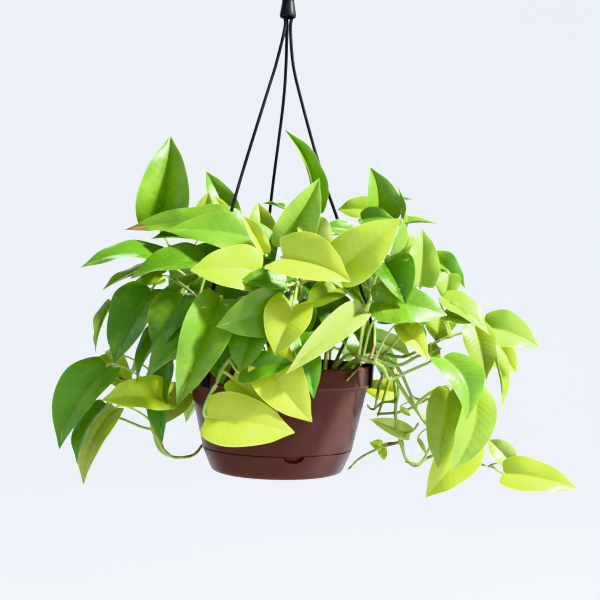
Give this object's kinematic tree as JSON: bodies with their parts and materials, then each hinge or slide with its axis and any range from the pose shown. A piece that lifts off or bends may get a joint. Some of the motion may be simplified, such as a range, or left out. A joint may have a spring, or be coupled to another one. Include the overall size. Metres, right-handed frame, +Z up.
{
  "type": "potted golden pothos",
  "caption": "Golden pothos with lime and green heart-shaped leaves trailing from a brown hanging pot with a clip-on saucer and a stranded hanger with a hook.",
  "frame": {"origin": "point inside the hook that bears on what the pot hangs from", "axes": "+Z up along the pot's axis, -Y towards the front, +X to the right as seen from the front"},
  "size_m": [0.5622, 0.336, 0.6205],
  "materials": {
    "pot_plastic": "satin brown",
    "soil": "loose and rough",
    "hanger_plastic": "satin charcoal",
    "leaf_lime": "waxy lime",
    "leaf_green": "waxy green"
  },
  "bodies": {
    "root": {"pot": "pot_plastic", "saucer": "pot_plastic", "soil": "soil", "hanger_hook": "hanger_plastic", "hanger_strand_left": "hanger_plastic", "hanger_strand_right": "hanger_plastic", "hanger_strand_back": "hanger_plastic", "vine_crown_left": "leaf_lime", "vine_lower_left": "leaf_lime", "vine_front": "leaf_lime", "vine_front_centre": "leaf_lime", "vine_right": "leaf_lime", "vine_far_right": "leaf_lime", "vine_lower_right": "leaf_lime", "vine_back_far_right": "leaf_lime", "vine_back_far_left": "leaf_lime", "vine_upper_left": "leaf_green", "vine_left": "leaf_green", "vine_front_left": "leaf_green", "vine_crown_centre": "leaf_green", "vine_crown_right": "leaf_green", "vine_right_front": "leaf_green", "vine_right_long": "leaf_green", "vine_back_right": "leaf_green", "vine_back": "leaf_green", "vine_back_left": "leaf_green"}
  },
  "joints": []
}
